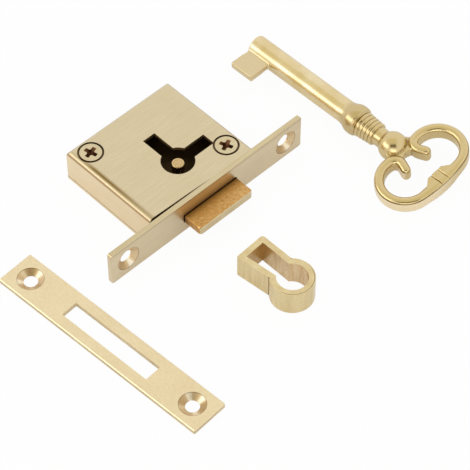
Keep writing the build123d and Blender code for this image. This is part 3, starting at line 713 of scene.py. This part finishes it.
def cast_key_piece():
    """The key with the softly run-together joins of a casting."""
    piece = copy_of("key", "cast_key")
    apply(piece, "REMESH", mode="VOXEL", voxel_size=0.15 * MM)
    apply(piece, "SMOOTH", factor=0.5, iterations=3)
    for name, weight, rounds in (("bit_join", in_bit_join, 50), ("lobes", in_lobe, 14)):
        group = piece.vertex_groups.new(name=name)
        for vertex in piece.data.vertices:
            group.add([vertex.index], weight(vertex.co / MM), "REPLACE")
        apply(piece, "SMOOTH", factor=0.5, iterations=rounds, vertex_group=name)
    # Under the 200,000 triangles that a piece may have
    apply(piece, "DECIMATE", ratio=0.55)
    select_only(piece)
    bpy.ops.object.shade_smooth()
    piece.data.materials.clear()
    piece.data.materials.append(cast_key)
    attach(piece, "key")
    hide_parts("key")


cast_key_piece()


def seen_directly(tree):
    """1 for a ray from the camera, a reflection or a clear pane, else 0."""
    path = add(tree, "ShaderNodeLightPath")
    seen = add(tree, "ShaderNodeMath", {"operation": "MAXIMUM"}, {
        0: path.outputs["Is Camera Ray"], 1: path.outputs["Is Glossy Ray"]})
    seen = add(tree, "ShaderNodeMath", {"operation": "MAXIMUM"}, {
        0: seen.outputs[0], 1: path.outputs["Is Transmission Ray"]})
    return seen.outputs[0]


def white_floor():
    """White paper 3 m round the lock, 0.02 mm under it so that no two faces share a place."""
    bpy.ops.object.select_all(action="DESELECT")
    bpy.ops.mesh.primitive_circle_add(vertices=96, radius=3.0, fill_type="NGON", location=(0, 0, -0.02 * MM))
    floor = bpy.context.object
    floor.name = "floor"
    paper = new_material("white_paper_floor")
    tree = paper.node_tree
    shaded = add(tree, "ShaderNodeBsdfDiffuse", None, {"Color": linear("F6F6F6")})
    white = add(tree, "ShaderNodeEmission", None, {"Color": (1, 1, 1, 1), "Strength": 1.0})
    # Nearly all white to the camera, 0.4 white in reflections, with enough of the shaded paper left to
    # keep the shadows.
    path = add(tree, "ShaderNodeLightPath")
    direct = add(tree, "ShaderNodeMath", {"operation": "MAXIMUM"}, {
        0: path.outputs["Is Camera Ray"], 1: path.outputs["Is Transmission Ray"]})
    direct = add(tree, "ShaderNodeMath", {"operation": "MULTIPLY"}, {0: direct.outputs[0], 1: 0.95})
    share = add(tree, "ShaderNodeMath", {"operation": "MULTIPLY_ADD"}, {
        0: path.outputs["Is Glossy Ray"], 1: 0.4, 2: direct.outputs[0]})
    mixed = add(tree, "ShaderNodeMixShader", None, {
        0: share.outputs[0], 1: shaded.outputs["BSDF"], 2: white.outputs["Emission"]})
    add(tree, "ShaderNodeOutputMaterial", None, {"Surface": mixed.outputs[0]})
    floor.data.materials.append(paper)


def white_world():
    """White to the camera and in reflections, a plain soft light otherwise."""
    world = bpy.data.worlds.new("studio")
    bpy.context.scene.world = world
    world.use_nodes = True
    tree = world.node_tree
    tree.nodes.clear()
    white = add(tree, "ShaderNodeBackground", None, {"Color": (1, 1, 1, 1), "Strength": 1.0})
    soft = add(tree, "ShaderNodeBackground", None, {"Color": (1, 1, 1, 1), "Strength": 0.85})
    mixed = add(tree, "ShaderNodeMixShader", None, {
        0: seen_directly(tree), 1: soft.outputs[0], 2: white.outputs[0]})
    add(tree, "ShaderNodeOutputWorld", None, {"Surface": mixed.outputs[0]})


def facing(direction):
    """The turn of a lamp whose back points along direction and whose long side lies near Y."""
    along = (Vector((0, 1, 0)) - direction * direction.y).normalized()
    return Matrix((along, direction.cross(along), direction)).transposed().to_4x4()


def soft_box(name, direction, distance, size, brightness):
    """A long lamp that faces the lock. brightness is how bright its face looks, white being 1."""
    direction = Vector(direction).normalized()
    lamp = bpy.data.lights.new(name, "AREA")
    lamp.shape = "RECTANGLE"
    lamp.size, lamp.size_y = size
    lamp.energy = brightness * size[0] * size[1] * pi
    holder = bpy.data.objects.new(name, lamp)
    bpy.context.scene.collection.objects.link(holder)
    holder.matrix_world = Matrix.Translation(direction * distance) @ facing(direction)


def dark_card(name, direction, distance, size, shade):
    """A card that stands for a darker part of the room, seen only in the lock's reflections."""
    direction = Vector(direction).normalized()
    bpy.ops.object.select_all(action="DESELECT")
    bpy.ops.mesh.primitive_plane_add(size=1.0, location=(0, 0, 0))
    card = bpy.context.object
    card.name = name
    card.data.transform(Matrix.Diagonal((size[0], size[1], 1, 1)))
    card.data.transform(direction.to_track_quat("Z", "Y").to_matrix().to_4x4())
    card.data.transform(Matrix.Translation(direction * distance))
    cloth = new_material(name + "_cloth")
    glow = add(cloth.node_tree, "ShaderNodeEmission", None, {"Color": linear(shade), "Strength": 1.0})
    add(cloth.node_tree, "ShaderNodeOutputMaterial", None, {"Surface": glow.outputs[0]})
    card.data.materials.append(cloth)
    card.visible_camera = card.visible_diffuse = card.visible_shadow = card.visible_transmission = False


def photograph_camera():
    """The camera that took the photograph, solved from the lock's straight edges."""
    data = bpy.data.cameras.new("camera")
    data.sensor_fit = "HORIZONTAL"
    data.sensor_width = 36.0
    data.lens = 174.64
    data.clip_start = 0.01
    data.clip_end = 20.0
    camera = bpy.data.objects.new("camera", data)
    bpy.context.scene.collection.objects.link(camera)
    place = Vector((-266.51, -298.44, 480.59))
    # The direction from the lock to the camera, and the camera's small turn about it
    azimuth, elevation, roll = radians(226.0205), radians(51.4699), radians(0.0594)
    back = Vector((cos(elevation) * cos(azimuth), cos(elevation) * sin(azimuth), sin(elevation)))
    level = Vector((-sin(azimuth), cos(azimuth), 0))
    right = level * cos(roll) + back.cross(level) * sin(roll)
    turn = Matrix((right, back.cross(right), back)).transposed().to_4x4()
    camera.matrix_world = Matrix.Translation(place * MM) @ turn
    bpy.context.scene.camera = camera


white_floor()
white_world()
soft_box("left_window", direction=(-0.76, 0.45, 0.46), distance=0.9, size=(0.9, 0.34), brightness=1.5)
soft_box("front_window", direction=(-0.62, -0.72, 0.24), distance=0.9, size=(0.7, 0.3), brightness=1.2)
dark_card("ceiling", direction=(-0.1, 0.1, 1.0), distance=0.8, size=(0.75, 1.1), shade="F1ECD2")
dark_card("camera_side", direction=(-0.43, -0.45, 0.78), distance=0.75, size=(0.7, 0.34), shade="6E6450")
photograph_camera()
bpy.context.scene.view_settings.view_transform = "Standard"
